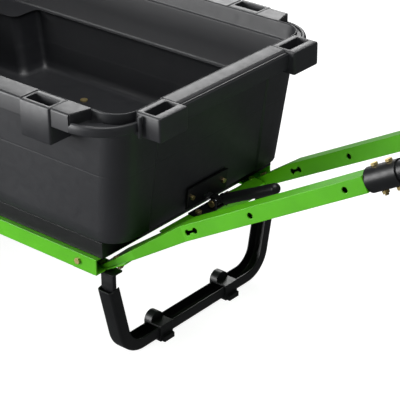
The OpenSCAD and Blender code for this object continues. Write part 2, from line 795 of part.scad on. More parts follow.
module stand_foot(s) placed() color(black) on_side(s) difference() {
    union() {
        block([leg_x - leg_l / 2 - 4, leg_x + leg_l / 2 + 4], [foot_half - 20, foot_half + 20],
            [0, leg_base_z + leg_d + 4]);
        translate([leg_x - leg_l / 2 - 4, foot_half, leg_base_z + leg_d + 2]) rotate([0, 90, 0])
            cylinder(h = 20, r = 20);
        block([leg_x + leg_l / 2, leg_x + leg_l / 2 + 12], [foot_half - 16, foot_half + 16], [0, leg_base_z + 6]);
    }
    block([leg_x - leg_l / 2 - fit_gap, leg_x + leg_l / 2 + fit_gap], [0, 2 * foot_half],
        [leg_base_z - fit_gap, leg_base_z + leg_d + fit_gap]);
}

// ---- Latch ----

module latch_strap() placed() color(green) difference() {
    block(strap_x, [-bar_half, bar_half], strap_z);
    block([strap_x[0] - eps, strap_x[1] - steel_t], [-bar_half - eps, bar_half + eps],
        [strap_z[0] - eps, strap_z[1] - steel_t]);
    both_sides() bar_frame() translate([-300, -bar_w - fit_gap, -200]) cube([600, 400, 400]);
    bracket_bolt_places() translate([0, 0, -30]) cylinder(h = 60, r = bolt_r + bolt_gap);
}

// Seats of the latch bracket's bolts, on the bracket's base
module bracket_bolt_places() {
    for (y = [-plate_bolt_y, plate_bolt_y])
        translate([(strap_x[0] + strap_x[1]) / 2, y, strap_z[1] + bracket_t]) children();
}

module latch_bracket() placed() color(black) difference() {
    union() {
        block(strap_x, [-plate_half, plate_half], [strap_z[1], strap_z[1] + bracket_t]);
        for (y = [-latch_ear_in - bracket_t, latch_ear_in]) along_y(y, y + bracket_t) {
            translate([latch_x, latch_z]) circle(10);
            translate([latch_x - 10, strap_z[1]]) square([20, latch_z - strap_z[1]]);
        }
    }
    rod_y(latch_x, -2 * latch_ear_in, 2 * latch_ear_in, latch_z, 5 + bush_gap);
    bracket_bolt_places() translate([0, 0, -30]) cylinder(h = 60, r = bolt_r + bolt_gap);
}

module bracket_bolts() placed() color(zinc) bracket_bolt_places() bolt(bracket_t + steel_t + 7);

module latch_pivot_pin() placed() color(zinc) {
    rod_y(latch_x, -latch_ear_in - bracket_t - 3, latch_ear_in + bracket_t + 3, latch_z, 5);
    both_sides() rod_y(latch_x, latch_ear_in + bracket_t + side_gap, latch_ear_in + bracket_t + 4, latch_z, 7.5);
}

module latch_lever() placed() color(black) difference() {
    translate([latch_x, 0, latch_z]) {
        rotate([90, 0, 0]) cylinder(h = 20, r = 9, center = true);
        translate([-16.5, -8, 2]) cube([12, 16, 7]);
        rotate([0, -lever_pitch, 0]) {
            translate([0, -9, -5]) cube([lever_neck + 4, 18, 10]);
            translate([lever_neck, 0, 0]) rotate([0, 90, 0]) cylinder(h = lever_l - lever_neck, r = lever_r);
            translate([lever_l, 0, 0]) sphere(r = lever_r);
        }
    }
    rod_y(latch_x, -latch_ear_in, latch_ear_in, latch_z, 5 + bush_gap);
}

module latch_spring() placed() color(steel) both_sides() difference() {
    rod_y(latch_x, 10 + side_gap, latch_ear_in - side_gap, latch_z, 8);
    rod_y(latch_x, 9, latch_ear_in + 1, latch_z, 5 + fit_gap);
}

// ---- Wheels ----

// The left wheel's frame, its middle at the origin and the axle along Z, +Z outward
module wheel_frame() {
    translate([axle_x, track_half, axle_z]) rotate([-90, 0, 0]) children();
}

module tyre(s) placed() color(rubber) on_side(s) wheel_frame() rotate_extrude($fn = 96) difference() {
    intersection() {
        translate([bead_r, -tyre_w / 2]) square([tyre_r - bead_r, tyre_w]);
        translate([(bead_r + tyre_r) / 2, 0]) circle(tyre_w / 2 + 8);
    }
    intersection() {
        translate([bead_r - eps, -tyre_w / 2 + 8]) square([tyre_r - bead_r - 9, tyre_w - 16]);
        translate([(bead_r + tyre_r) / 2, 0]) circle(tyre_w / 2 - 2);
    }
}

module wheel_rim(s) placed() color("white") on_side(s) wheel_frame() difference() {
    rotate_extrude($fn = 96) {
        translate([bead_r - 4, -rim_half]) square([4 - fit_gap, 2 * rim_half]);
        for (y = [-rim_half - flange_t, rim_half]) translate([bead_r - 4, y]) square([14, flange_t]);
        translate([hub_r + fit_gap, -2]) square([bead_r - hub_r - 3, 4]);
    }
    for (a = [0:72:359]) rotate([0, 0, a]) translate([(bead_r + hub_r) / 2, 0, -10]) cylinder(h = 20, r = 13);
    valve_place() translate([0, 0, -4]) cylinder(h = 24, r = 3 + fit_gap);
}

// Seat of the valve in the rim's barrel, +Z towards the hub
module valve_place() {
    rotate([0, 0, 36]) translate([bead_r, 0, 26]) rotate([0, -90, 0]) children();
}

module valve(s) placed() color(rubber) on_side(s) wheel_frame() valve_place() cylinder(h = 30, r = 3);

module hub(s) placed() color(steel) on_side(s) wheel_frame() difference() {
    cylinder(h = 2 * hub_half, r = hub_r, center = true);
    cylinder(h = 2 * hub_half + 2 * eps, r = bush_r, center = true);
}

module hub_bushes(s) placed() color([0.85, 0.84, 0.78]) on_side(s) wheel_frame()
    for (z = [-hub_half, hub_half - 24]) translate([0, 0, z]) difference() {
        cylinder(h = 24, r = bush_r - fit_gap);
        translate([0, 0, -eps]) cylinder(h = 24 + 2 * eps, r = axle_r + bush_gap);
    }

module hub_cap(s) placed() color(black) on_side(s) wheel_frame() translate([0, 0, hub_half - 10]) difference() {
    cylinder(h = 30, r = hub_r + 4);
    translate([0, 0, -eps]) cylinder(h = 10 + eps, r = hub_r + fit_gap);
    translate([0, 0, 10 - eps]) cylinder(h = 17 + eps, r = hub_r + 1.5);
}

rail(1);  // rail_left
rail(-1);  // rail_right
crossmember(front_cross_x);  // front_crossmember
crossmember(rear_cross_x);  // rear_crossmember
corner_plate(1);  // corner_plate_left
corner_plate(-1);  // corner_plate_right
drawbar(1);  // drawbar_left
drawbar(-1);  // drawbar_right
socket(1);  // socket_left
socket(-1);  // socket_right
draw_loop();
hitch_bracket();
hitch_pin();
latch_strap();
latch_bracket();
latch_pivot_pin();
latch_spring();
latch_lever();
axle_arm(1);  // axle_arm_left
axle_arm(-1);  // axle_arm_right
axle();
axle_spacers();
axle_washers();
cotter_pins();
stand_leg();
stand_foot(1);  // stand_foot_left
stand_foot(-1);  // stand_foot_right
rail_bolts();
rail_nuts();
corner_bolts();
corner_nuts();
loop_bolts();
loop_nuts();
bracket_bolts();
tub();
tub_frame();
pivot_ear(1);  // pivot_ear_left
pivot_ear(-1);  // pivot_ear_right
latch_plate();
latch_keeper();
tub_bolts();
tub_nuts();
plate_bolts();
tyre(1);  // tyre_left
tyre(-1);  // tyre_right
wheel_rim(1);  // wheel_rim_left
wheel_rim(-1);  // wheel_rim_right
hub(1);  // hub_left
hub(-1);  // hub_right
hub_bushes(1);  // hub_bushes_left
hub_bushes(-1);  // hub_bushes_right
valve(1);  // valve_left
valve(-1);  // valve_right
hub_cap(1);  // hub_cap_left
hub_cap(-1);  // hub_cap_right
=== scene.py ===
"""Looks of a garden dump cart: moulded tub, powder-coated chassis, tyres, loop, leg and fasteners.

Lengths are metres in the cart's own frame: +X forward, +Y left, +Z up, ground at z = 0. Stations along
the cart are counted from the front rim, and SHIFT, read from the frame, turns a station into an X.
"""

import json
import logging
import math
from dataclasses import dataclass, field
from enum import Enum

import bpy
import numpy as np
from mathutils import Matrix, Vector

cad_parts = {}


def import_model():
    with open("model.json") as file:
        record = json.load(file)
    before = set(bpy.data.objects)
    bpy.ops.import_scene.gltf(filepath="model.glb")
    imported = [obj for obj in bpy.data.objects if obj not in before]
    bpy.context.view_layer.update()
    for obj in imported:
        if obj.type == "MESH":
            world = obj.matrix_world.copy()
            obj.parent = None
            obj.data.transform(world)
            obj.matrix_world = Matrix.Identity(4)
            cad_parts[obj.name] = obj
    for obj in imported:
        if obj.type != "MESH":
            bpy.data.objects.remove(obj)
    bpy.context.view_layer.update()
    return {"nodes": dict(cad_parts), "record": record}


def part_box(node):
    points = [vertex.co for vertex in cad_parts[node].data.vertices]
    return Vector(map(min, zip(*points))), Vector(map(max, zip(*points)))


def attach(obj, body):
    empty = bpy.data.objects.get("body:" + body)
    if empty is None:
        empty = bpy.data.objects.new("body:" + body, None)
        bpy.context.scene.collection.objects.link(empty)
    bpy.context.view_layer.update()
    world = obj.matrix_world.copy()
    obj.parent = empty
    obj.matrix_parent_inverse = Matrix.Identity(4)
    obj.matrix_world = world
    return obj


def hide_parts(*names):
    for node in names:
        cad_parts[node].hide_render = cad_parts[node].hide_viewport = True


LOG = logging.getLogger("cart")
MM = 0.001


class Side(Enum):
    """Which side of the cart a piece stands on; the value is the sign of its Y."""

    LEFT = 1
    RIGHT = -1


class Shade(Enum):
    """How a mesh's faces are shaded."""

    SMOOTH = 1
    CREASED = 2


# ---------------------------------------------------------------------------------------------
# Materials
# ---------------------------------------------------------------------------------------------


def linear(hex_colour: str) -> tuple[float, float, float, float]:
    """Turn an sRGB hex colour into linear RGBA.

    Args:
        hex_colour: Six hex digits.

    Returns:
        The linear colour with alpha 1.
    """
    channels = [int(hex_colour[i : i + 2], 16) / 255 for i in (0, 2, 4)]
    low = [c / 12.92 if c <= 0.04045 else ((c + 0.055) / 1.055) ** 2.4 for c in channels]
    return (*low, 1.0)


def add_node(tree: bpy.types.NodeTree, kind: str, settings: dict | None = None,
             **inputs: object) -> bpy.types.Node:
    """Add one shader node, set its options, and fill or link its inputs.

    Args:
        tree: The material's node tree.
        kind: The node's type name.
        settings: Attributes of the node itself.
        **inputs: Socket values, or output sockets to link; underscores in names stand for spaces.

    Returns:
        The new node.
    """
    node = tree.nodes.new(kind)
    for name, value in (settings or {}).items():
        setattr(node, name, value)
    for name, value in inputs.items():
        key = int(name[1:]) if name[0] == "i" and name[1:].isdigit() else name.replace("_", " ")
        if isinstance(value, bpy.types.NodeSocket):
            tree.links.new(value, node.inputs[key])
        else:
            node.inputs[key].default_value = value
    return node


def ramp(tree: bpy.types.NodeTree, source: bpy.types.NodeSocket, low: float, high: float, out_low: float,
         out_high: float) -> bpy.types.NodeSocket:
    """Map source from low..high to out_low..out_high and clamp it.

    Args:
        tree: The material's node tree.
        source: The value to map.
        low: Source value that gives out_low.
        high: Source value that gives out_high.
        out_low: Result at low.
        out_high: Result at high.

    Returns:
        The mapped value's socket.
    """
    node = add_node(tree, "ShaderNodeMapRange", i0=source, i1=low, i2=high, i3=out_low, i4=out_high)
    return node.outputs[0]


@dataclass(frozen=True)
class Finish:
    """A surface finish: a base colour with patches, a grain bump, a pale mix on faces that look up (real dust
    on the tyre, painted top light on the tub), and worn or softened edges.

    Attributes:
        name: Material name, the real material and its process.
        colour: Main sRGB hex colour.
        second: Colour of the broad patches.
        roughness: Mean roughness.
        spread: How far roughness wanders to each side.
        metallic: 0 for paint and plastic, 1 for bare metal.
        ior: Index of refraction; metals keep the default.
        coat: Weight of a clear top layer.
        grain_mm: Width of one grain of the surface.
        grain_depth_mm: Height of the grain.
        patch_mm: Width of the broad colour patches.
        edge_mm: Radius to which sharp edges look rounded.
        dust_and_top_light: Share of pale colour on faces that look up; on the tyre it is dust, on the tub it
            is painted top light.
        gloss: Strength of the surface's mirror part, 0.5 as the index of refraction has it.
    """

    name: str
    colour: str
    second: str
    roughness: float
    spread: float = 0.06
    metallic: float = 0.0
    ior: float = 1.5
    coat: float = 0.0
    grain_mm: float = 1.5
    grain_depth_mm: float = 0.05
    patch_mm: float = 90.0
    edge_mm: float = 1.2
    dust_and_top_light: float = 0.0
    gloss: float = 0.5

    def build(self) -> bpy.types.Material:
        """Build the finish's node material.

        Returns:
            The material, ready to be put on a piece.
        """
        material = bpy.data.materials.new(self.name)
        material.use_nodes = True
        tree = material.node_tree
        tree.nodes.clear()
        place = add_node(tree, "ShaderNodeTexCoord").outputs["Object"]
        patches = add_node(tree, "ShaderNodeTexNoise", Vector=place, Scale=1 / (self.patch_mm * MM),
                           Detail=4.0, Roughness=0.55).outputs["Fac"]
        grain = add_node(tree, "ShaderNodeTexNoise", Vector=place, Scale=1 / (self.grain_mm * MM),
                         Detail=3.0, Roughness=0.6).outputs["Fac"]
        scuffs = add_node(tree, "ShaderNodeTexNoise", Vector=place, Scale=1 / (self.patch_mm * MM * 0.12),
                          Detail=6.0, Roughness=0.7).outputs["Fac"]
        share = ramp(tree, patches, 0.35, 0.65, 0, 1)
        tint = add_node(tree, "ShaderNodeMix", {"data_type": "RGBA"}, i0=share, i6=linear(self.colour),
                        i7=linear(self.second)).outputs[2]
        # Pale colour mixed into faces that look up: dust on the tyre, painted top light on the tub's rim
        # tops.
        if self.dust_and_top_light:
            up = add_node(tree, "ShaderNodeNewGeometry").outputs["Normal"]
            rise = add_node(tree, "ShaderNodeSeparateXYZ", Vector=up).outputs["Z"]
            up_share = ramp(tree, rise, 0.5, 1.0, 0.0, self.dust_and_top_light)
            patchy = add_node(tree, "ShaderNodeMath", {"operation": "MULTIPLY"}, i0=up_share,
                              i1=ramp(tree, scuffs, 0.4, 0.7, 0.3, 1.0)).outputs[0]
            tint = add_node(tree, "ShaderNodeMix", {"data_type": "RGBA"}, i0=patchy, i6=tint,
                            i7=linear("8f8b84")).outputs[2]
        rough = ramp(tree, scuffs, 0.3, 0.7, self.roughness - self.spread, self.roughness + self.spread)
        soft = add_node(tree, "ShaderNodeBevel", {"samples": 4}, Radius=self.edge_mm * MM).outputs["Normal"]
        bump = add_node(tree, "ShaderNodeBump", Strength=0.6, Distance=self.grain_depth_mm * MM, Height=grain,
                        Normal=soft).outputs["Normal"]
        shader = add_node(tree, "ShaderNodeBsdfPrincipled", Base_Color=tint, Roughness=rough, Normal=bump,
                          Metallic=self.metallic, Coat_Weight=self.coat)
        if not self.metallic:
            shader.inputs["IOR"].default_value = self.ior
            shader.inputs["Specular IOR Level"].default_value = self.gloss
        if self.coat:
            shader.inputs["Coat Roughness"].default_value = 0.12
        add_node(tree, "ShaderNodeOutputMaterial", Surface=shader.outputs["BSDF"])
        return material


# Glossy powder coat on pressed steel: a smooth orange-peel skin with bright edges.
GREEN = Finish("powder_coat_lime_green", "4da20a", "479807", 0.34, 0.05, coat=0.25, grain_mm=2.2,
               grain_depth_mm=0.06, edge_mm=2.2)
# Satin powder coat on steel tube: dark, slightly pebbled, soft highlights.
BLACK = Finish("powder_coat_satin_black", "111213", "151617", 0.4, 0.06, grain_mm=1.6, grain_depth_mm=0.08,
               edge_mm=1.6, gloss=0.3)
# Rotation-moulded polyethylene: satin black skin with a fine grain, with a little pale colour on faces that
# look up as painted top light.
POLY = Finish("polyethylene_moulded_black", "1f2023", "1b1c1f", 0.47, 0.05, ior=1.52, grain_mm=1.3,
              grain_depth_mm=0.06, patch_mm=160, edge_mm=2.0, dust_and_top_light=0.01, gloss=0.5)
# Tyre rubber, moulded: deep matt black with dusty shoulders.
RUBBER = Finish("rubber_moulded_tyre", "1d1d1e", "242322", 0.78, 0.08, ior=1.52, grain_mm=1.0,
                grain_depth_mm=0.08, dust_and_top_light=0.12)
# Enamel on pressed steel: light grey, glossy, with faint wear.
ENAMEL = Finish("enamel_light_grey", "b9bab6", "afb0ac", 0.3, 0.05, coat=0.2, grain_mm=2.0,
                grain_depth_mm=0.03)
# Yellow passivated zinc plate: brassy with rainbow-dull patches.
ZINC = Finish("zinc_plate_yellow_passivated", "e2cf98", "c7b277", 0.48, 0.08, metallic=1.0, grain_mm=0.8,
              grain_depth_mm=0.02, patch_mm=9, edge_mm=0.5)
# Bright zinc-plated turned steel: fine turned grain, clean grey.
STEEL = Finish("steel_turned_bright_zinc", "a9abae", "9a9da1", 0.3, 0.07, metallic=1.0, grain_mm=0.7,
               grain_depth_mm=0.02, patch_mm=20, edge_mm=0.6)
# Natural nylon, moulded: milky, waxy.
NYLON = Finish("nylon_moulded_natural", "d8d4c6", "cfcaba", 0.45, 0.05, ior=1.53, grain_mm=1.2)
# Glossy ABS, moulded.
CAP = Finish("abs_moulded_black", "141414", "191919", 0.25, 0.05, grain_mm=1.2, grain_depth_mm=0.02)

SLOT_FINISH = {
    "green_powder_coat": GREEN, "black_powder_coat": BLACK, "black_poly": POLY, "tyre_rubber": RUBBER,
    "valve_rubber": RUBBER, "rim_paint": ENAMEL, "cap_plastic": CAP, "bush_nylon": NYLON,
    "bright_steel": STEEL, "yellow_zinc": ZINC,
}


# ---------------------------------------------------------------------------------------------
# Surfaces
# ---------------------------------------------------------------------------------------------


def grid_faces(rows: int, cols: int, close_rows: bool, close_cols: bool) -> list[list[int]]:
    """Index the quads of a grid of points.

    Args:
        rows: Rows of the grid.
        cols: Points in a row.
        close_rows: Join the last row to the first.
        close_cols: Join each row's last point to its first.

    Returns:
        The quads as lists of four point indices.
    """
    r = np.arange(rows if close_rows else rows - 1)
    c = np.arange(cols if close_cols else cols - 1)
    rr, cc = np.meshgrid(r, c, indexing="ij")
    r2, c2 = (rr + 1) % rows, (cc + 1) % cols
    quads = np.stack([rr * cols + cc, rr * cols + c2, r2 * cols + c2, r2 * cols + cc], -1)
    return quads.reshape(-1, 4).tolist()


@dataclass
class Surface:
    """Points and faces of one piece, added grid by grid.

    Attributes:
        points: Arrays of points, one for each grid.
        faces: Faces over all points.
    """

    points: list[np.ndarray] = field(default_factory=list)
    faces: list[list[int]] = field(default_factory=list)

    def add(self, grid: np.ndarray, close_rows: bool = False, close_cols: bool = True,
            cap_first: bool = False, cap_last: bool = False, flip: bool = False) -> None:
        """Add a grid of points, with flat caps over its first and last row where asked.

        Args:
            grid: Points shaped (rows, cols, 3).
            close_rows: Join the last row to the first.
            close_cols: Join each row's ends.
            cap_first: Close the first row with one face.
            cap_last: Close the last row with one face.
            flip: Turn the faces round.
        """
        rows, cols = grid.shape[:2]
        start = sum(len(p) for p in self.points)
        faces = grid_faces(rows, cols, close_rows, close_cols)
        if cap_first:
            faces.append(list(range(cols))[::-1])
        if cap_last:
            faces.append(list(range((rows - 1) * cols, rows * cols)))
        if flip:
            faces = [f[::-1] for f in faces]
        self.faces += [[i + start for i in f] for f in faces]
        self.points.append(grid.reshape(-1, 3))

    def add_mirrored(self, other: "Surface") -> None:
        """Add another surface and its mirror image across Y = 0.

        Args:
            other: The left-hand surface.
        """
        for sign in (1, -1):
            start = sum(len(p) for p in self.points)
            self.points.append(np.concatenate(other.points) * np.array([1, sign, 1]))
            self.faces += [[i + start for i in (f if sign > 0 else f[::-1])] for f in other.faces]

    def piece(self, name: str, body: str, slot: str, replaces: tuple[str, ...] = (),
              shade: Shade = Shade.CREASED, crease_deg: float = 38.0) -> bpy.types.Object:
        """Make the surface a shown piece that rides on a body.

        Args:
            name: Object name.
            body: CAD body it rides on.
            slot: Material slot of the record, which also gives the finish.
            replaces: CAD nodes it stands for.
            shade: Smooth all over, or with creases at sharp edges.
            crease_deg: Edges sharper than this stay creased.

        Returns:
            The new object.
        """
        mesh = bpy.data.meshes.new(name)
        points = (np.concatenate(self.points) + np.array([SHIFT, 0, 0])) * MM
        mesh.from_pydata(points.tolist(), [], self.faces)
        mesh.validate()
        mesh.polygons.foreach_set("use_smooth", np.ones(len(mesh.polygons), dtype=bool))
        if shade is Shade.CREASED:
            mesh.set_sharp_from_angle(angle=math.radians(crease_deg))
        mesh.update()
        obj = bpy.data.objects.new(name, mesh)
        bpy.context.scene.collection.objects.link(obj)
        mesh.materials.append(MATERIALS[slot])
        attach(obj, body)
        if replaces:
            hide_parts(*replaces)
        LOG.info("%s: %d faces", name, len(self.faces))
        return obj


def arc(centre: tuple[float, float], radius: float, a0: float, a1: float, count: int) -> np.ndarray:
    """Points of a circular arc: centre plus radius times (cos a, sin a), a from a0 to a1 in degrees."""
    a = np.radians(np.linspace(a0, a1, count))
    return np.stack([centre[0] + radius * np.cos(a), centre[1] + radius * np.sin(a)], -1)


def rounded(corners: list[tuple[float, float, float]], steps: int = 8, along: int = 1) -> np.ndarray:
    """Round a polygon's corners.

    At each corner a circle of its radius touches both edges; its arc, cut into equal turns, replaces the
    corner, and the edge that follows is cut into equal lengths.

    Args:
        corners: (x, y, radius) of each corner, counter-clockwise.
        steps: Points on each corner's arc.
        along: Parts that each straight edge is cut into.

    Returns:
        The outline's points, shaped (corners * (steps + along - 1), 2).
    """
    p = np.array([c[:2] for c in corners], float)
    out = []
    n = len(p)
    arcs = []
    for i in range(n):
        before, here, after = p[i - 1], p[i], p[(i + 1) % n]
        d0 = (before - here) / np.linalg.norm(before - here)
        d1 = (after - here) / np.linalg.norm(after - here)
        half = math.acos(max(-1.0, min(1.0, float(d0 @ d1)))) / 2
        r = max(corners[i][2], 1e-5)
        if half > math.pi / 2 - 1e-4:
            arcs.append(here + d1 * np.linspace(-r, r, steps)[:, None])
            continue
        reach = r / math.tan(half)
        middle = here + (d0 + d1) / np.linalg.norm(d0 + d1) * r / math.sin(half)
        t0, t1 = here + d0 * reach - middle, here + d1 * reach - middle
        a0 = math.atan2(t0[1], t0[0])
        turn = (math.atan2(t1[1], t1[0]) - a0 + math.pi) % (2 * math.pi) - math.pi
        a = a0 + turn * np.linspace(0, 1, steps)
        arcs.append(middle + r * np.stack([np.cos(a), np.sin(a)], -1))
    for i in range(n):
        out.append(arcs[i])
        if along > 1:
            t = np.linspace(0, 1, along + 1)[1:-1, None]
            out.append(arcs[i][-1] * (1 - t) + arcs[(i + 1) % n][0] * t)
    return np.concatenate(out)


def inset(outline: np.ndarray, depth: float) -> np.ndarray:
    """Move a counter-clockwise outline inwards by depth along the mean normal of each point's two edges."""
    ahead = np.roll(outline, -1, 0) - outline
    behind = outline - np.roll(outline, 1, 0)
    ahead /= np.maximum(np.linalg.norm(ahead, axis=1, keepdims=True), 1e-9)
    behind /= np.maximum(np.linalg.norm(behind, axis=1, keepdims=True), 1e-9)
    along = ahead + behind
    along /= np.maximum(np.linalg.norm(along, axis=1, keepdims=True), 1e-9)
    return outline + np.stack([-along[:, 1], along[:, 0]], -1) * depth


def slab(outline: np.ndarray, z0: float, z1: float, edge: float, steps: int = 4) -> np.ndarray:
    """Rows of a flat piece with rounded rims: the outline is inset by edge * (1 - sin a) at each height
    edge * (1 - cos a) from its bottom and top face.

    Args:
        outline: Counter-clockwise outline.
        z0: Bottom.
        z1: Top.
        edge: Radius of the rims.
        steps: Rows of each rounding.

    Returns:
        Grid of points, bottom row first; its first and last rows take caps.
    """
    a = np.linspace(0, math.pi / 2, steps)
    rows = [(edge * (1 - math.sin(t)), z0 + edge * (1 - math.cos(t))) for t in a]
    rows += [(edge * (1 - math.sin(t)), z1 - edge * (1 - math.cos(t))) for t in a[::-1]]
    return np.stack([np.column_stack([inset(outline, d), np.full(len(outline), z)]) for d, z in rows])


def swept(profile: np.ndarray, path: np.ndarray, across: np.ndarray) -> np.ndarray:
    """Carry a profile along a path.

    At each path point the profile's first coordinate runs along across, made square to the path's
    direction, and its second along their cross product.

    Args:
        profile: Profile points, shaped (n, 2), counter-clockwise as seen looking back along the path.
        path: Path points, shaped (m, 3).
        across: Direction of the profile's first axis, shaped (3,) or (m, 3).

    Returns:
        Grid of points, shaped (m, n, 3).
    """
    heading = np.gradient(path, axis=0)
    heading /= np.linalg.norm(heading, axis=1, keepdims=True)
    side = across - heading * np.sum(across * heading, 1, keepdims=True)
    side /= np.linalg.norm(side, axis=1, keepdims=True)
    up = np.cross(heading, side)
    return path[:, None, :] + profile[None, :, :1] * side[:, None, :] + profile[None, :, 1:] * up[:, None, :]


def turned(profile: np.ndarray, centre: tuple[float, float, float], count: int) -> np.ndarray:
    """Turn a profile of (radius, y) points round an axle along Y.

    The point at angle a is the centre plus (radius * cos a, y, radius * sin a).

    Args:
        profile: Profile points, counter-clockwise in (radius, y); or shaped (count, n, 2), one for each
            angle.
        centre: Middle of the axle, in millimetres.
        count: Steps round the axle.

    Returns:
        Grid of points, shaped (count, n, 3), closed both ways.
    """
    a = np.linspace(0, 2 * math.pi, count, endpoint=False)[:, None]
    rows = profile if profile.ndim == 3 else np.repeat(profile[None], count, 0)
    r, y = rows[..., 0], rows[..., 1]
    return np.stack([centre[0] + r * np.cos(a), centre[1] + y, centre[2] + r * np.sin(a)], -1)


def ring_profile(radius: float, count: int = 20) -> np.ndarray:
    """Circle of the given radius, counter-clockwise."""
    a = np.linspace(0, 2 * math.pi, count, endpoint=False)
    return radius * np.stack([np.cos(a), np.sin(a)], -1)


# ---------------------------------------------------------------------------------------------
# Tub
# ---------------------------------------------------------------------------------------------


@dataclass
class Tub:
    """The moulded tub, in millimetres from the front rim.

    Attributes:
        length: Length over the end rims.
        half_width: Half width over the side rims.
        rim_z: Rim height.
        base_z: Underside of the walls.
        floor_z: Inside floor.
        wall_half: Half width over the walls at the rim.
        wall_front: Station of the front wall at the rim.
        side_draft: How far the side walls lean in.
        end_draft: How far the end walls lean in.
        well_z: Underside of the wheel wells' tops.
        corner: Radius of the upright corners.
        end_rim_half: Half width of the end rims' plain middles.
        wall: Thickness of the rims' plates.
        skirt: Depth of the skirt below the rim.
        block_l: Length of the block round a stake pocket.
        corner_gap: How far the side rims stop short of the front.
        side_block_x: Station of the side pockets.
    """

    length: float = 1240.0
    half_width: float = 350.0
    rim_z: float = 612.0
    base_z: float = 301.0
    floor_z: float = 321.0
    wall_half: float = 301.0
    wall_front: float = -46.0
    side_draft: float = 20.0
    end_draft: float = 43.0
    well_z: float = 462.0
    corner: float = 55.0
    end_rim_half: float = 172.0
    wall: float = 4.0
    skirt: float = 39.0
    block_l: float = 84.0
    corner_gap: float = 139.0
    side_block_x: float = -228.0

    def rise(self, z: float) -> float:
        """Share of the wall's height at z, 0 at its foot and 1 at the rim."""
        return (z - self.base_z) / (self.rim_z - self.base_z)

    def outline(self, z: float, depth: float, wells: bool) -> np.ndarray:
        """Plan of the tub at height z, its walls moved in by depth.

        The corners lie on the leaning walls. With wells, the two rear corners step in round the wheels;
        without, the same corner points lie along the plain walls, so that both plans match point for point.

        Args:
            z: Height.
            depth: How far the walls are moved in.
            wells: Whether the wheel wells are cut in.

        Returns:
            The outline's points.
        """
        k = self.rise(z)
        front = self.wall_front - self.end_draft * (1 - k) - depth
        side = self.wall_half - self.side_draft * (1 - k) - depth
        rear = -self.length - self.wall_front + self.end_draft * (1 - k) + depth
        panel = self.end_rim_half + 8
        step = 3.0
        well_x = -843 - 32 * (z - self.base_z) / 161 + depth
        well_y = 204 + 10 * (z - self.base_z) / 161 - depth
        r = max(self.corner - depth, 20.0)
        left = [(front - step, panel - 5, 2), (front, panel, 2), (front, side, r)]
        if wells:
            left += [(well_x, side, 12), (well_x, well_y, 22), (rear, well_y, 30)]
        else:
            left += [(well_x, side, 1), (rear, side, r), (rear, well_y, 1)]
        right = [(x, -y, radius) for x, y, radius in left[::-1]]
        return rounded(left + right, 7, 3)

    def shell(self) -> Surface:
        """The walls, floor, wheel wells and the thin lip round the mouth, as one closed loft.

        Each row is the plan at a height and a depth; the rows climb the outside, turn over the lip and go
        down the inside, and where the wells begin the plan changes at one height, which makes their flat
        tops.

        Returns:
            The tub's shell.
        """
        top, well = self.rim_z, self.well_z
        outside = [(317, 4, True), (303, 4, True), (301, 2.6, True), (301, 1.4, True), (303, 0, True),
                   (330, 0, True), (375, 0, True), (420, 0, True), (well - 4, 0, True), (well - 1, 0, True),
                   (well, 0.2, True), (well, 0.2, False), (well + 1, 0, False), (well + 4, 0, False),
                   (500, 0, False), (540, 0, False), (580, 0, False),
                   (top - 3, 0, False), (top - 1, 0.6, False), (top, 2, False)]
        inside = [(top, 2.6, False), (top - 1, 4.2, False), (top - 4, 5, False), (top - 35, 5, False),
                  (top - 38, 6, False), (top - 39, 8.6, False), (top - 43, 9.2, False), (520, 9.2, False),
                  (well + 14, 9.2, False), (well + 9, 10.4, False), (well + 7, 14, False),
                  (well + 7, 14, True),
                  (well + 3, 10.2, True), (well - 2, 9.2, True), (430, 9.2, True), (396, 9.2, True),
                  (392, 9.6, True), (388, 10, True), (345, 10, True), (330, 12.5, True), (324, 17, True),
                  (self.floor_z, 25, True)]
        rows = [np.column_stack([self.outline(z, d, w), np.full(12 * 9, z)]) for z, d, w in outside + inside]
        surface = Surface()
        surface.add(np.stack(rows), cap_first=True, cap_last=True)
        return surface

    def both_ends(self, left_front: Surface) -> Surface:
        """Repeat a left front surface at all four corners by mirror images about the tub's two middles."""
        ends = Surface()
        for flip in (False, True):
            start = sum(len(p) for p in ends.points)
            points = np.concatenate(left_front.points)
            if flip:
                points = points * np.array([-1, 1, 1]) + np.array([-self.length, 0, 0])
            ends.points.append(points)
            ends.faces += [[i + start for i in (f[::-1] if flip else f)] for f in left_front.faces]
        whole = Surface()
        whole.add_mirrored(ends)
        return whole

    def pocket_block(self, x: tuple[float, float], y: tuple[float, float], z0: float,
                     pocket_x: tuple[float, float], pocket_y: tuple[float, float], end: bool) -> np.ndarray:
        """A block with a stake pocket sunk in its top, its wall side leaning with the tub's wall.

        Args:
            x: The block's stations.
            y: Its sides.
            z0: Its underside.
            pocket_x: The pocket's stations.
            pocket_y: The pocket's sides.
            end: Whether it stands on an end wall, and not on a side wall.

        Returns:
            Rows from the underside up the outside, over the top and down the pocket to its floor.
        """
        outer = rounded([(x[0], y[0], 3), (x[1], y[0], 5), (x[1], y[1], 5), (x[0], y[1], 3)], 6, 3)
        pocket = rounded([(pocket_x[0], pocket_y[0], 3), (pocket_x[1], pocket_y[0], 3),
                          (pocket_x[1], pocket_y[1], 3), (pocket_x[0], pocket_y[1], 3)], 6, 3)
        top = self.rim_z
        rows = [(outer, 4, z0), (outer, 1.2, z0 + 1), (outer, 0, z0 + 4), (outer, 0, top - 4),
                (outer, 1.2, top - 1.2), (outer, 4, top), (pocket, -1.5, top), (pocket, -0.4, top - 0.4),
                (pocket, 0, top - 1.5), (pocket, 1, top - 46)]
        grid = np.stack([np.column_stack([inset(o, d), np.full(len(o), z)]) for o, d, z in rows])
        lean = self.end_draft if end else self.side_draft
        axis, span = (0, x) if end else (1, y)
        share = np.clip((span[1] - grid[..., axis]) / (span[1] - span[0]), 0, 1)
        share[-4:] = 0
        grid[..., axis] -= share * lean * (1 - self.rise(grid[..., 2]))
        return grid

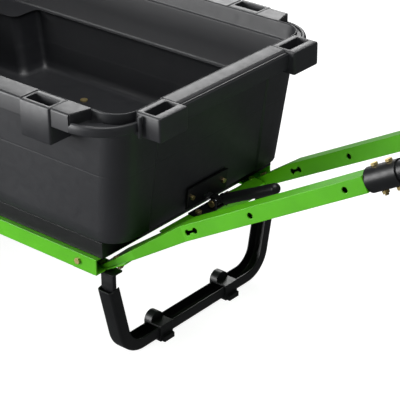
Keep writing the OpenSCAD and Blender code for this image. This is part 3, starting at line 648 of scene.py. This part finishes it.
    def side_rim(self, front: float, rear: float, slant: float) -> np.ndarray:
        """One stretch of the side rim: a top plate and a skirt with a rounded edge, carried along X.

        Args:
            front: Its front station.
            rear: Its rear station.
            slant: How far the inner edge reaches past the front station.

        Returns:
            Rows from rear to front.
        """
        y, z = self.half_width, self.rim_z
        profile = np.concatenate([
            [[y - self.wall, z - self.skirt], [y, z - self.skirt]], arc((y - 5, z - 5), 5, 0, 90, 5),
            [[y - 22, z], [y - 24, z + 0.1], [298, z], [298, z - self.wall],
             [y - self.wall, z - self.wall]]])
        path = np.array([[x, 0, 0] for x in (rear, front)], float)
        grid = swept(profile, path, np.array([0.0, 1.0, 0.0]))
        grid[-1, :, 0] += slant * np.clip((y - grid[-1, :, 1]) / 53, 0, 1)
        return grid

    def rims(self) -> Surface:
        """Side rims, pocket blocks, sunk corner shelves with a rounded lip, and corner posts.

        Returns:
            All four corners' surfaces.
        """
        z, gap, block = self.rim_z, self.corner_gap, self.side_block_x
        front, rear = block + self.block_l / 2, block - self.block_l / 2
        corner = Surface()
        corner.add(self.side_rim(-gap, front, 15), cap_first=True, cap_last=True)
        corner.add(self.side_rim(rear, -self.length / 2, 0), cap_first=True, cap_last=True)
        corner.add(self.pocket_block((rear, front), (298, 354), z - 80, (block - 33, block + 33), (314, 343),
                                     False), cap_first=True, cap_last=True)
        corner.add(self.pocket_block((-49, 16), (172, 256), z - 52, (-33, -4), (181, 247), True),
                   cap_first=True, cap_last=True)
        shelf = np.concatenate([arc((-gap, 245), 105, 0, 90, 24), arc((-97, 249), 49.5, 90, 0, 12)])
        corner.add(slab(shelf, z - 40, z - 22, 4), cap_first=True, cap_last=True)
        lip = arc((-gap, 245), 99, 4, 88, 30)
        lip_path = np.column_stack([lip, np.full(len(lip), z - 23)])
        corner.add(swept(ring_profile(5.0, 14), lip_path, np.array([0.0, 0.0, 1.0])), cap_first=True,
                   cap_last=True)
        end_wall = np.array([[-gap + 1, 347.0, 0.0], [-gap + 13, 300.0, 0.0]])
        plate = np.array([[z - 24, -2.0], [z - 1, -2.0], [z - 1, 2.0], [z - 24, 2.0]])
        corner.add(swept(plate[:, ::-1], end_wall, np.array([1.0, 0.0, 0.0])), cap_first=True,
                   cap_last=True)
        post = ring_profile(4.5, 18) + np.array([-30, 263])
        corner.add(slab(post, z - 50, z - 4, 2.5), cap_first=True, cap_last=True)
        return self.both_ends(corner)

    def end_rims(self) -> Surface:
        """The end rims' plain middles: a top plate, a sloping outer band and a skirt, carried along Y.

        Returns:
            Both end rims.
        """
        z, half = self.rim_z, self.end_rim_half + 1
        profile = np.array([[0, z - self.skirt], [self.wall, z - self.skirt], [self.wall, z - self.wall],
                            [49, z - self.wall], [49, z], [17, z], [15, z - 0.5], [3, z - 6],
                            [0.8, z - 7.5], [0, z - 10]])
        grid = swept(profile, np.array([[0, -half, 0], [0, half, 0]], float), np.array([-1.0, 0.0, 0.0]))
        surface = Surface()
        surface.add(grid, cap_first=True, cap_last=True)
        rear = grid * np.array([-1, 1, 1]) + np.array([-self.length, 0, 0])
        surface.add(rear, cap_first=True, cap_last=True, flip=True)
        return surface

    def build(self) -> None:
        """Make the tub's pieces in place of the plain CAD tub."""
        self.shell().piece("tub_shell", "tilting_tub", "black_poly", ("tub",), crease_deg=50)
        self.rims().piece("tub_rim_corners", "tilting_tub", "black_poly", ("tub",), crease_deg=40)
        self.end_rims().piece("tub_rim_ends", "tilting_tub", "black_poly", ("tub",), crease_deg=30)


# ---------------------------------------------------------------------------------------------
# Chassis pieces
# ---------------------------------------------------------------------------------------------


@dataclass
class DrawLoop:
    """The round tube that joins the drawbars' ends, in millimetres from the front rim."""

    pitch: float = 29.4
    yaw: float = 3.5
    bar_half: float = 203.0
    bar_z: float = 349.0
    bar_w: float = 50.0
    bar_h: float = 34.0
    bar_front: float = 430.0
    start: float = 36.0
    lead: float = 96.0
    bend: float = 90.0
    run: float = 60.0
    radius: float = 22.0

    def path(self) -> np.ndarray:
        """Middle line of the loop's tube from the left drawbar round to the right one.

        In the bar's upright plane it runs straight at the pitch, then bends level on a circle; then in plan
        it runs on, and turns on a circle of the same radius to straight across. The right half is the mirror
        image.

        Returns:
            The path's points.
        """
        p, yaw = math.radians(self.pitch), math.radians(self.yaw)
        u_end = self.bar_front / math.cos(p)
        d = np.array([u_end + self.start, u_end + self.lead])
        reach = d * math.cos(p) + self.bar_h / 2 * math.sin(p)
        height = d * math.sin(p) - self.bar_h / 2 * math.cos(p)
        a = np.linspace(0, p, 14)[1:]
        reach = np.concatenate([reach, reach[-1] + self.bend * (math.sin(p) - np.sin(p - a))])
        height = np.concatenate([height, height[-1] + self.bend * (np.cos(p - a) - math.cos(p))])
        side = np.full(len(reach), -self.bar_w / 2)
        t = np.radians(np.linspace(0, 90 - self.yaw, 24))
        reach = np.concatenate([reach, reach[-1] + self.run + self.bend * np.sin(t)])
        side = np.concatenate([side, side[-1] - self.bend * (1 - np.cos(t))])
        height = np.concatenate([height, np.full(len(t), height[-1])])
        x = reach * math.cos(yaw) + side * math.sin(yaw)
        y = self.bar_half - reach * math.sin(yaw) + side * math.cos(yaw)
        left = np.column_stack([x, y, self.bar_z + height])
        return np.concatenate([left, left[::-1] * np.array([1, -1, 1])])

    def build(self) -> None:
        """Sweep the tube along its middle line."""
        surface = Surface()
        surface.add(swept(ring_profile(self.radius, 40), self.path(), np.array([0.0, 0.0, 1.0])),
                    cap_first=True, cap_last=True)
        surface.piece("draw_loop_tube", "chassis", "black_powder_coat", ("draw_loop",))


@dataclass
class StandLeg:
    """The bent channel that the parked cart stands on, in millimetres from the front rim."""

    x: float = -130.0
    width: float = 40.0
    depth: float = 28.0
    wall: float = 3.0
    top_half: float = 280.0
    top_z: float = 185.0
    lean: float = 13.0
    bend: float = 74.0
    base_z: float = 6.0
    bolt_y: float = 250.0
    tab_z: float = 224.0

    def section(self) -> np.ndarray:
        """The channel's section: a web with two flanges, its outer corners on 7 mm arcs and inner on 4 mm."""
        w, d, t = self.width / 2, self.depth, self.wall
        return np.concatenate([
            arc((-w + 7, 7), 7, 180, 270, 6), arc((w - 7, 7), 7, 270, 360, 6), [[w, d - 1], [w - 1, d]],
            [[w - t, d]], arc((w - 7, 7), 4, 0, -90, 5), arc((-w + 7, 7), 4, 270, 180, 5), [[-w + t, d]],
            [[-w + 1, d], [-w, d - 1]]])

    def path(self) -> np.ndarray:
        """Outer line of the leg: down the left upright, round a circle, across, and up the right one."""
        lean = math.radians(self.lean)
        cz = self.base_z + self.bend
        cy = self.top_half + (cz - self.top_z) * math.tan(lean) - self.bend / math.cos(lean)
        turn = arc((cy, cz), self.bend, -self.lean, -90, 16)
        left = np.concatenate([[[self.top_half, self.top_z]], turn])
        points = np.concatenate([left, left[::-1] * np.array([-1, 1])])
        return np.column_stack([np.full(len(points), self.x), points])

    def build(self) -> None:
        """Sweep the channel and add the two plugs and tabs that hang it from the chassis."""
        leg = Surface()
        leg.add(swept(self.section(), self.path(), np.array([1.0, 0.0, 0.0])), cap_first=True, cap_last=True)
        hanger = Surface()
        x0, x1 = self.x - self.width / 2, self.x + self.width / 2 - self.wall
        outer, inner, back = self.bolt_y + 19, self.bolt_y + 8, self.bolt_y - 14
        plug = rounded([(x0 + 2.5, inner, 2), (x1 + 0.5, inner, 2), (x1 + 0.5, outer, 2),
                        (x0 + 2.5, outer, 2)], 4)
        hanger.add(slab(plug, self.top_z - 25, self.tab_z - 1, 0.6), cap_first=True, cap_last=True)
        tab = rounded([(x0 - 18, back, 5), (x1, back, 5), (x1, outer, 5), (x0 - 18, outer, 5)], 6)
        hanger.add(slab(tab, self.tab_z - self.wall, self.tab_z, 0.8), cap_first=True, cap_last=True)
        leg.add_mirrored(hanger)
        leg.piece("stand_leg_channel", "chassis", "black_powder_coat", ("stand_leg",), crease_deg=30)


@dataclass
class LatchSpring:
    """Torsion coil on the latch pin beside the lever's boss, in millimetres from the front rim."""

    x: float = -52.0
    z: float = 312.0
    inner: float = 10.6
    outer: float = 15.4
    coil: float = 6.6
    wire: float = 0.9
    turns: float = 2.5

    def build(self) -> None:
        """Sweep the wire along a helix: y grows with the angle, x and z run round the pin."""
        a = np.linspace(0, 2 * math.pi * self.turns, 60)
        y = self.inner + self.wire + (self.outer - self.inner - 2 * self.wire) * a / a[-1]
        path = np.column_stack([self.x + self.coil * np.cos(a), y, self.z + self.coil * np.sin(a)])
        one = Surface()
        one.add(swept(ring_profile(self.wire, 8), path, np.array([0.0, 1.0, 0.0])), cap_first=True,
                cap_last=True)
        both = Surface()
        both.add_mirrored(one)
        both.piece("latch_spring_coil", "chassis", "bright_steel", ("latch_spring",), Shade.SMOOTH)


@dataclass
class Wheel:
    """One wheel's tyre, in millimetres from the front rim."""

    side: Side
    x: float = -1064.0
    track: float = 282.0
    radius: float = 203.0
    width: float = 108.0
    bead: float = 101.2
    lugs: int = 26
    groove: float = 7.0

    def tyre(self) -> np.ndarray:
        """Tyre as a profile turned round the axle, with tread cut by a formula.

        The outside is a superellipse between bead and crown. Over the crown the radius drops by the groove's
        depth where the angle, shifted with |y| into a V, falls between two lugs, and in two rings round the
        tyre.

        Returns:
            Grid of points, closed both ways.
        """
        count = self.lugs * 16
        t = np.linspace(-math.pi / 2, math.pi / 2, 64)
        mid, reach, half = 136.0, self.radius - 136.0, self.width / 2
        y = half * np.sign(np.sin(t)) * np.abs(np.sin(t)) ** 0.75
        r = mid + reach * np.cos(t) ** 0.45
        bead = np.linspace(self.bead, mid, 8, endpoint=False)
        bulge = half - 3 * ((mid - bead) / (mid - self.bead)) ** 2
        r = np.concatenate([bead, r, bead[::-1], [self.bead]])
        y = np.concatenate([-bulge, y, bulge[::-1], [0.0]])
        a = np.linspace(0, 1, count, endpoint=False)[:, None] * self.lugs
        across = np.abs(y)[None]
        crown = np.clip((r[None] - (self.radius - 26)) / 14, 0, 1)
        wave = np.abs((a + across / half * 0.55) % 1.0 - 0.5) * 2
        cut = np.clip((wave - 0.62) / 0.1, 0, 1)
        rings = np.clip((2.6 - np.abs(across - 15)) / 1.2, 0, 1)
        drop = self.groove * np.maximum(cut, rings) * crown
        rows = np.stack([r[None] - drop, np.repeat(y[None], count, 0)], -1)
        return turned(rows, (self.x, self.side.value * self.track, self.radius), count)

    def build(self) -> None:
        """Make the tyre in place of the plain CAD one."""
        name = self.side.name.lower()
        surface = Surface()
        surface.add(self.tyre(), close_rows=True)
        surface.piece(f"tyre_{name}_tread", f"{name}_wheel", "tyre_rubber", (f"tyre_{name}",), crease_deg=35)


# ---------------------------------------------------------------------------------------------
# Carried CAD nodes, stage and camera
# ---------------------------------------------------------------------------------------------


def dress_nodes(nodes: dict[str, bpy.types.Object], record: dict) -> None:
    """Give every CAD node its finish, from the record's material slots.

    Args:
        nodes: The CAD nodes' objects.
        record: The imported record.
    """
    slots = {part["node"]: part["material_slot"] for part in record["subparts"]}
    for name, obj in nodes.items():
        obj.data.materials.clear()
        obj.data.materials.append(MATERIALS[slots[name]])


@dataclass
class Stage:
    """White floor and soft studio light.

    The floor glows, so that it stays white under lamps that suit the black tub, and shiny
    surfaces don't mirror it.
    """

    floor_half: float = 14.0
    floor_glow: float = 0.9
    side: float = 330.0
    top: float = 150.0
    back: float = 110.0

    def build(self) -> None:
        """Make the floor, the world light and three soft lamps."""
        mesh = bpy.data.meshes.new("studio_floor")
        h = self.floor_half
        mesh.from_pydata([(-h, -h, 0), (h, -h, 0), (h, h, 0), (-h, h, 0)], [], [(0, 1, 2, 3)])
        floor = bpy.data.objects.new("studio_floor", mesh)
        bpy.context.scene.collection.objects.link(floor)
        material = bpy.data.materials.new("paper_white")
        material.use_nodes = True
        shader = material.node_tree.nodes["Principled BSDF"]
        shader.inputs["Base Color"].default_value = (0.3, 0.3, 0.3, 1)
        shader.inputs["Roughness"].default_value = 0.9
        shader.inputs["Emission Color"].default_value = (1.0, 1.0, 1.0, 1)
        shader.inputs["Emission Strength"].default_value = self.floor_glow
        mesh.materials.append(material)
        floor.visible_glossy = False
        world = bpy.data.worlds.new("studio_world")
        world.use_nodes = True
        world.node_tree.nodes["Background"].inputs["Color"].default_value = (1.0, 1.0, 1.0, 1)
        world.node_tree.nodes["Background"].inputs["Strength"].default_value = 0.08
        bpy.context.scene.world = world
        bpy.context.scene.view_settings.view_transform = "Standard"
        self.lamp("side_light", (-2.9, -3.5, 0.9), 2.6, self.side)
        self.lamp("top_light", (0.6, -0.6, 4.2), 3.0, self.top)
        self.lamp("back_light", (-2.8, 3.4, 2.5), 2.2, self.back)

    def lamp(self, name: str, at: tuple[float, float, float], size: float, power: float) -> None:
        """Hang a square soft lamp that faces the cart.

        Args:
            name: Lamp name.
            at: Its place.
            size: Side of its square.
            power: Its power in watts.
        """
        light = bpy.data.lights.new(name, "AREA")
        light.size = size
        light.energy = power
        obj = bpy.data.objects.new(name, light)
        obj.location = at
        aim = Vector((0.1, 0, 0.35)) - Vector(at)
        obj.rotation_euler = aim.to_track_quat("-Z", "Y").to_euler()
        bpy.context.scene.collection.objects.link(obj)


@dataclass
class Camera:
    """The camera: a long lens from ahead and to the right, above the cart."""

    azimuth: float = 40.27
    elevation: float = 27.55
    roll: float = -0.58
    lens: float = 147.96
    station: tuple[float, float, float] = (1924.0, -2392.0, 1932.0)

    def build(self) -> None:
        """Make the camera and set it as the scene's."""
        a, e, r = (math.radians(v) for v in (self.azimuth, self.elevation, self.roll))
        back = Vector((math.sin(a) * math.cos(e), -math.cos(a) * math.cos(e), math.sin(e)))
        right = Vector((math.cos(a), math.sin(a), 0))
        up = back.cross(right)
        right, up = math.cos(r) * right + math.sin(r) * up, -math.sin(r) * right + math.cos(r) * up
        data = bpy.data.cameras.new("camera")
        data.lens, data.sensor_width = self.lens, 36.0
        data.clip_end = 60.0
        camera = bpy.data.objects.new("camera", data)
        x, y, z = self.station
        place = Matrix((right, up, back)).transposed().to_4x4()
        place.translation = Vector(((x + SHIFT) * MM, y * MM, z * MM))
        camera.matrix_world = place
        bpy.context.scene.collection.objects.link(camera)
        bpy.context.scene.camera = camera


def main() -> None:
    """Build the cart's pieces in order."""
    tub, loop, leg, spring = Tub(), DrawLoop(), StandLeg(), LatchSpring()
    dress_nodes(FRAME["nodes"], FRAME["record"])
    for part in (tub, loop, leg, spring, Wheel(Side.LEFT), Wheel(Side.RIGHT), Stage(), Camera()):
        part.build()
        LOG.info("built %s", type(part).__name__)


if __name__ == "__main__":
    logging.basicConfig(level=logging.INFO, format="%(name)s: %(message)s")
    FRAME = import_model()
    SHIFT = (sum(corner.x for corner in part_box("axle")) / 2) / MM - Wheel(Side.LEFT).x
    MATERIALS = {slot: finish.build() for slot, finish in SLOT_FINISH.items()}
    main()
